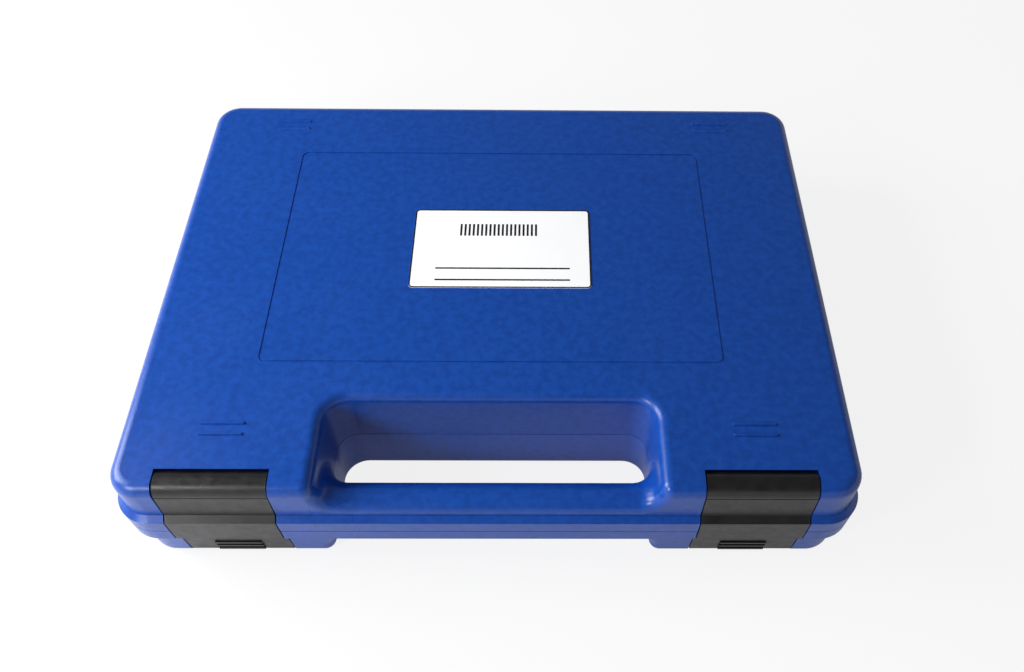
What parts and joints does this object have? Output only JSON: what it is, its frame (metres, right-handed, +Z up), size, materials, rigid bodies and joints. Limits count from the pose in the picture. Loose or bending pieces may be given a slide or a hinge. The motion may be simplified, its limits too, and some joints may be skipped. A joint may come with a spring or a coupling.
{
  "type": "whiteness meter in carrying case",
  "caption": "Handheld whiteness meter in a moulded carrying case with hinged lid, snap latches, hand hole, die-cut foam, calibration tile and light trap.",
  "frame": {"origin": "on the base's flat resting face, under the middle of the case's shell", "axes": "+X to the right of someone who faces the latches, +Y to the hinges, +Z up"},
  "size_m": [0.3074, 0.2407, 0.0608],
  "materials": {
    "case_plastic": "injection-moulded polypropylene, satin",
    "latch_plastic": "fine-grained moulded plastic",
    "steel": "drawn wire, plain",
    "label_film": "white printed film, semi-gloss",
    "foam": "open-cell polyurethane foam",
    "meter_plastic": "fine-textured ABS",
    "faceplate_film": "printed polycarbonate film",
    "clear_window": "clear",
    "lcd": "liquid crystal panel",
    "circuit_board": "green solder mask",
    "key_rubber": "silicone rubber",
    "measure_key_rubber": "silicone rubber",
    "inner_plastic": "moulded ABS",
    "cell_jacket": "printed sleeve",
    "contact_metal": "nickel-plated strip",
    "black_metal": "black anodised",
    "sphere_coating": "matt white diffuse coating",
    "holder_plastic": "black moulded plastic",
    "white_ceramic": "glazed white ceramic"
  },
  "bodies": {
    "root": {"base_shell": "case_plastic", "hinge_pin_left": "steel", "hinge_pin_right": "steel", "foam_floor_sheet": "foam", "foam_insert": "foam", "meter_rear_housing": "meter_plastic", "meter_front_housing": "meter_plastic", "battery_cover": "meter_plastic", "meter_faceplate": "faceplate_film", "display_window": "clear_window", "lcd_module": "lcd", "main_board": "circuit_board", "lamp_board": "circuit_board", "battery_tray": "inner_plastic", "batteries": "cell_jacket", "battery_contacts": "contact_metal", "housing_screws": "steel", "aperture_ring": "black_metal", "dust_window": "clear_window", "sphere_upper_half": "sphere_coating", "sphere_lower_half": "sphere_coating", "detector": "black_metal", "tile_holder": "holder_plastic", "tile_cap": "holder_plastic", "white_tile": "white_ceramic", "light_trap": "holder_plastic", "trap_cap": "holder_plastic"},
    "lid": {"lid_shell": "case_plastic", "lid_foam": "foam", "label": "label_film", "latch_pin_left": "steel", "latch_pin_right": "steel"},
    "latch_left": {"latch_left": "latch_plastic"},
    "latch_right": {"latch_right": "latch_plastic"},
    "power_key": {"power_key": "key_rubber"},
    "zero_key": {"zero_key": "key_rubber"},
    "mode_key": {"mode_key": "key_rubber"},
    "measure_key": {"measure_key": "measure_key_rubber"}
  },
  "joints": [
    {"name": "lid_hinge", "type": "hinge", "parent": "root", "child": "lid", "pos_m": [0, 0.12065, 0.0308], "axis": [-1, 0, 0], "range_deg": [0, 180]},
    {"name": "latch_left_swing", "type": "hinge", "parent": "lid", "child": "latch_left", "pos_m": [-0.1089, -0.1065, 0.054], "axis": [-1, 0, 0], "range_deg": [0, 110]},
    {"name": "latch_right_swing", "type": "hinge", "parent": "lid", "child": "latch_right", "pos_m": [0.1089, -0.1065, 0.054], "axis": [-1, 0, 0], "range_deg": [0, 110]},
    {"name": "power_key_press", "type": "slide", "parent": "root", "child": "power_key", "axis": [0, 0, -1], "range_m": [0, 0.0008], "stiffness_N_per_m": 600},
    {"name": "zero_key_press", "type": "slide", "parent": "root", "child": "zero_key", "axis": [0, 0, -1], "range_m": [0, 0.0008], "stiffness_N_per_m": 600},
    {"name": "mode_key_press", "type": "slide", "parent": "root", "child": "mode_key", "axis": [0, 0, -1], "range_m": [0, 0.0008], "stiffness_N_per_m": 600},
    {"name": "measure_key_press", "type": "slide", "parent": "root", "child": "measure_key", "axis": [0, 0, -1], "range_m": [0, 0.0008], "stiffness_N_per_m": 600}
  ]
}
